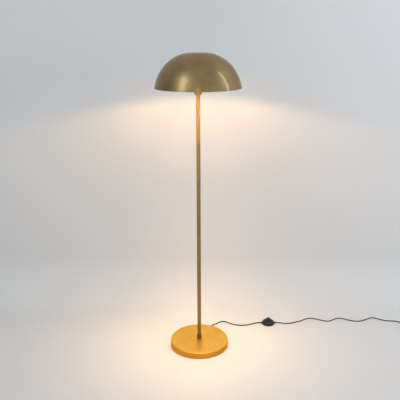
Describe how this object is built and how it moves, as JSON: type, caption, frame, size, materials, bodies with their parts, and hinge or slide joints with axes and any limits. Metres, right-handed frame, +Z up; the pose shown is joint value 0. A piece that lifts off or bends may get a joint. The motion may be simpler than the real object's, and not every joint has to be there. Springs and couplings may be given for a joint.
{
  "type": "floor lamp",
  "caption": "Floor lamp: spun dome shade, thin tube pole and round weighted foot, with a lampholder and bulb inside the dome, a lead with a round foot switch, and a flat plug.",
  "frame": {"origin": "centre of the round foot on the floor", "axes": "+Z up along the pole, +X to the right seen from the front, +Y to the back where the lead leaves"},
  "size_m": [1.4436, 0.4642, 1.4698],
  "materials": {
    "antique_brass": "satin aged brass plate, fine spun grain",
    "bright_brass": "bare brass, satin",
    "shade_skin": "satin aged brass outside, off-white inside",
    "grey_iron": "as cast, lightly oiled",
    "felt": "dense pressed felt",
    "zinc_steel": "zinc plated",
    "white_steel": "off-white powder coat",
    "black_rubber": "matt moulded rubber",
    "black_sheath": "satin flexible sheath",
    "black_moulding": "fine spark-eroded texture",
    "black_gloss": "smooth moulding",
    "porcelain": null,
    "white_moulding": "smooth white moulding",
    "opal_diffuser": "opal, satin",
    "board_aluminium": "matt, white solder mask",
    "nickel": "nickel plated",
    "spring_steel": "drawn wire",
    "core_insulation": "coloured core insulation"
  },
  "bodies": {
    "lamp": {"base_cover": "antique_brass", "base_weight": "grey_iron", "base_pad": "felt", "base_washer": "zinc_steel", "base_nut": "zinc_steel", "cord_gland": "black_rubber", "cord_clamp": "black_moulding", "cord_clamp_screws": "zinc_steel", "pole_foot": "antique_brass", "pole_lower": "antique_brass", "pole_middle": "antique_brass", "pole_upper": "antique_brass", "pole_inserts": "bright_brass", "pole_nipples": "zinc_steel", "foot_nipple": "zinc_steel", "head_nipple": "zinc_steel", "holder_cup": "antique_brass", "cup_nut": "zinc_steel", "holder_cap": "black_moulding", "holder_core": "porcelain", "holder_terminals": "bright_brass", "terminal_screws": "zinc_steel", "centre_contact": "bright_brass", "side_contact": "bright_brass", "screw_shell": "bright_brass", "holder_skirt": "black_moulding", "holder_wires": "core_insulation", "shade_ring": "black_moulding", "shade_spider": "white_steel", "shade": "shade_skin", "switch_top": "black_moulding", "switch_bottom": "black_moulding", "switch_screws": "zinc_steel", "switch_feet": "black_rubber", "switch_core": "white_moulding", "switch_contacts": "bright_brass", "switch_terminal_screws": "zinc_steel", "switch_noses": "black_rubber", "switch_leads": "black_sheath", "switch_clamps": "white_moulding", "switch_cores": "core_insulation", "inner_cord": "black_sheath", "cord_to_switch": "black_sheath", "cord_to_coil": "black_sheath", "cord_coil": "black_sheath", "cord_to_plug": "black_sheath", "plug_relief": "black_rubber", "plug_body": "black_rubber", "plug_pins": "nickel", "plug_sleeves": "black_gloss"},
    "button": {"switch_button": "black_gloss", "switch_spring": "spring_steel"},
    "rotor": {"switch_rotor": "white_moulding"},
    "bulb_lift": {"bulb_contact": "nickel"},
    "bulb": {"bulb_globe": "opal_diffuser", "bulb_housing": "white_moulding", "led_board": "board_aluminium", "bulb_cap": "nickel", "bulb_insulator": "black_gloss"}
  },
  "joints": [
    {"name": "button_press", "type": "slide", "parent": "lamp", "child": "button", "axis": [0, 0, -1], "range_m": [0, 0.004], "stiffness_N_per_m": 900, "springref_m": -0.004, "deforming": ["switch_spring"]},
    {"name": "switch_ratchet", "type": "hinge", "parent": "lamp", "child": "rotor", "pos_m": [0.3827, 0.206, 0.009], "axis": [0, 0, 1], "range_deg": [0, 45.5]},
    {"name": "bulb_lift", "type": "slide", "parent": "lamp", "child": "bulb_lift", "axis": [0, 0, 1], "range_m": [0, 0.00363]},
    {"name": "bulb_turn", "type": "hinge", "parent": "bulb_lift", "child": "bulb", "pos_m": [0, 0, 1.36], "axis": [0, 0, 1], "range_deg": [0, 360]}
  ],
  "couplings": [
    {"joint": "switch_ratchet", "follows": "button_press", "rad_per_m": 196.35},
    {"joint": "bulb_turn", "follows": "bulb_lift", "rad_per_m": 1731.3}
  ]
}
